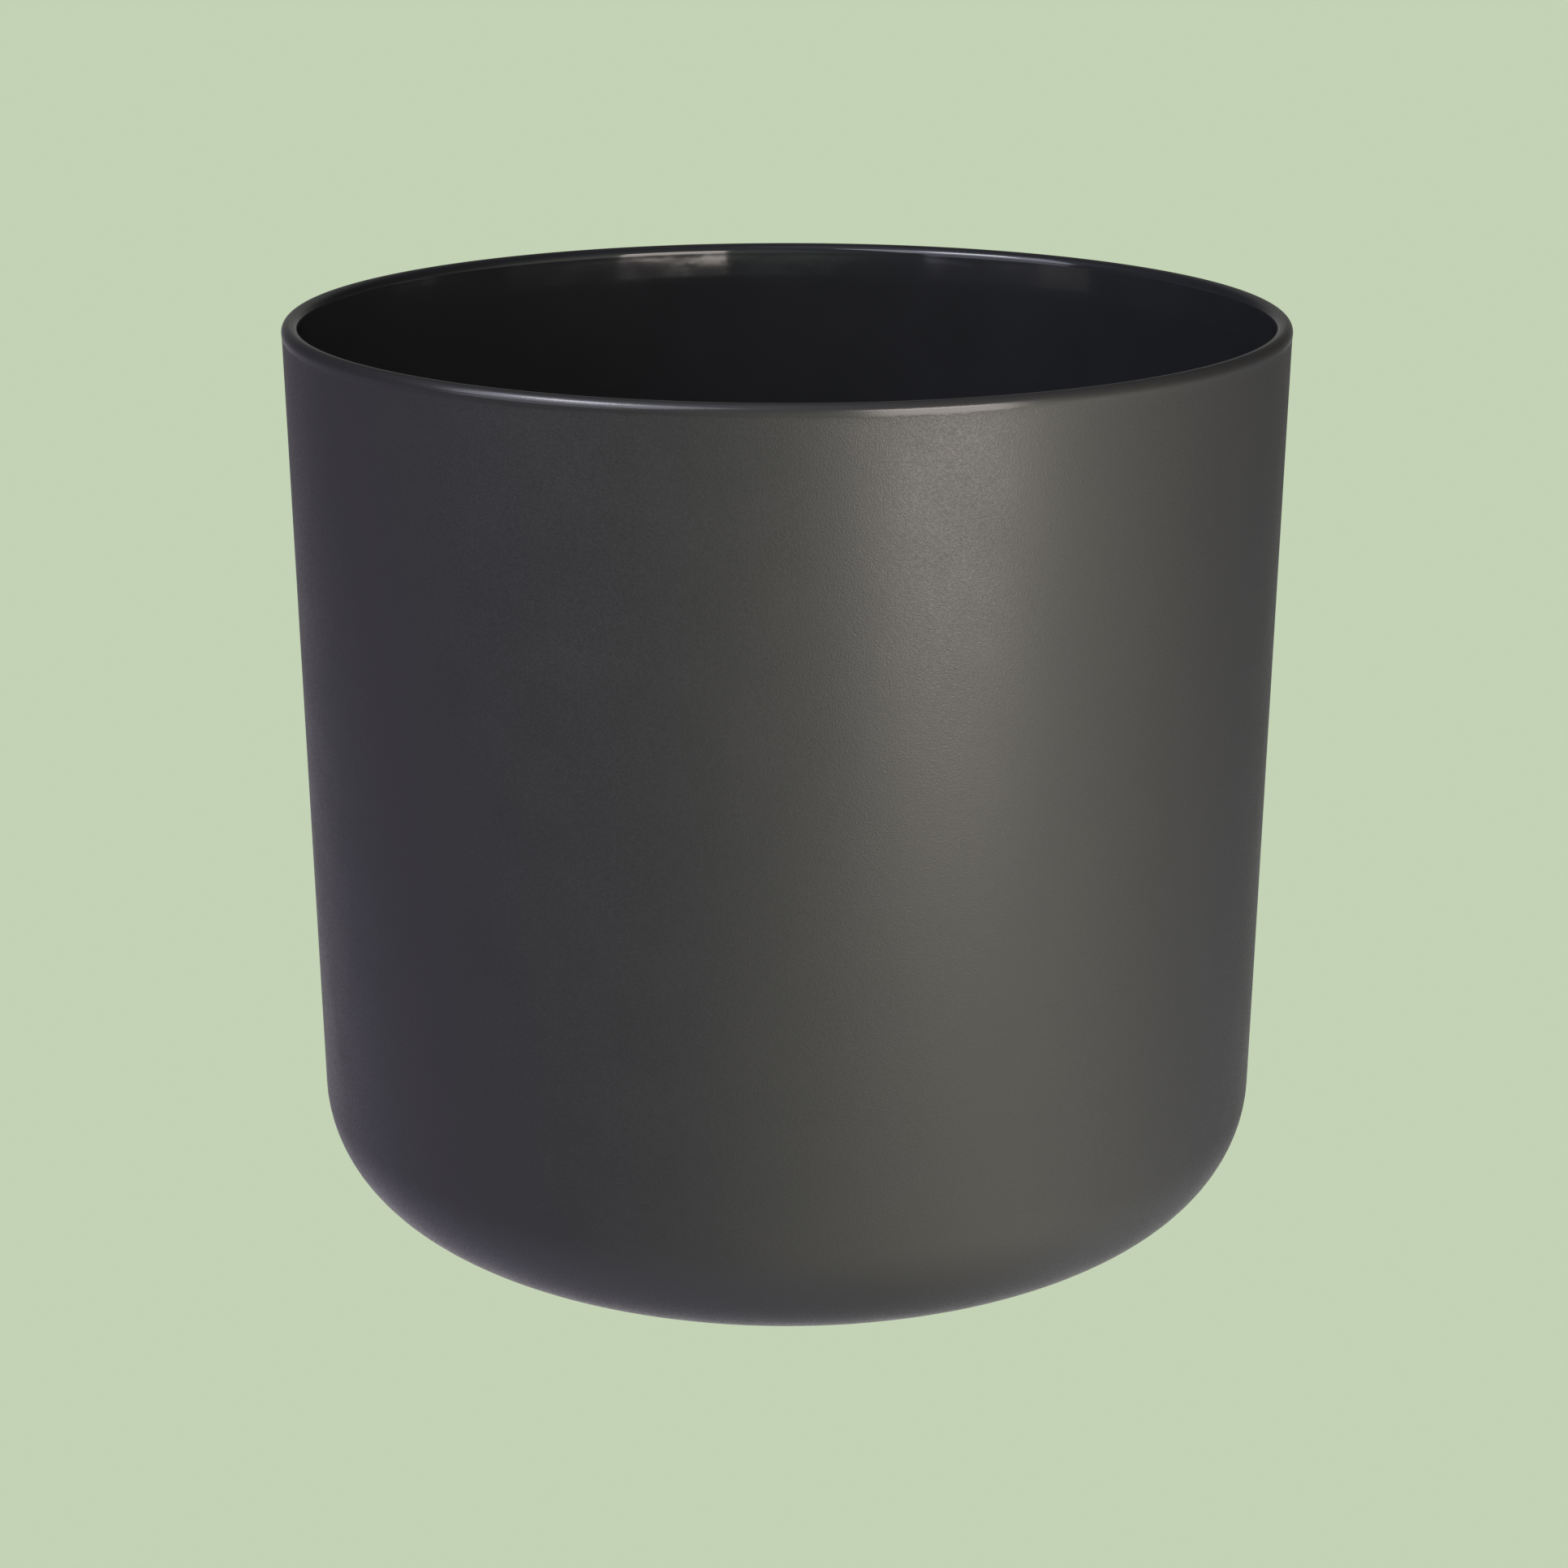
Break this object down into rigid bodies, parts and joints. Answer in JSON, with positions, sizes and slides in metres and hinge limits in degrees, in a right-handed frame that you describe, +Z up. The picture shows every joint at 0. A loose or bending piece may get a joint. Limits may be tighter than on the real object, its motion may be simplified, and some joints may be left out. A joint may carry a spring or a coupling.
{
  "type": "candle jar",
  "caption": "Empty round candle jar: a black glass cup with a rounded heel and a rolled lip, coated satin charcoal outside and left glossy inside.",
  "frame": {"origin": "centre of the standing ring, on the surface the jar stands on", "axes": "+Z up along the jar's own axis, out of the mouth; the jar is round, so X and Y are free"},
  "size_m": [0.1, 0.1, 0.0919],
  "materials": {
    "black_glass": "opaque, fire-polished gloss",
    "charcoal_coat": "baked satin charcoal coating with a fine orange-peel grain"
  },
  "bodies": {
    "root": {"glass_body": "black_glass", "outer_coat": "charcoal_coat"}
  },
  "joints": []
}
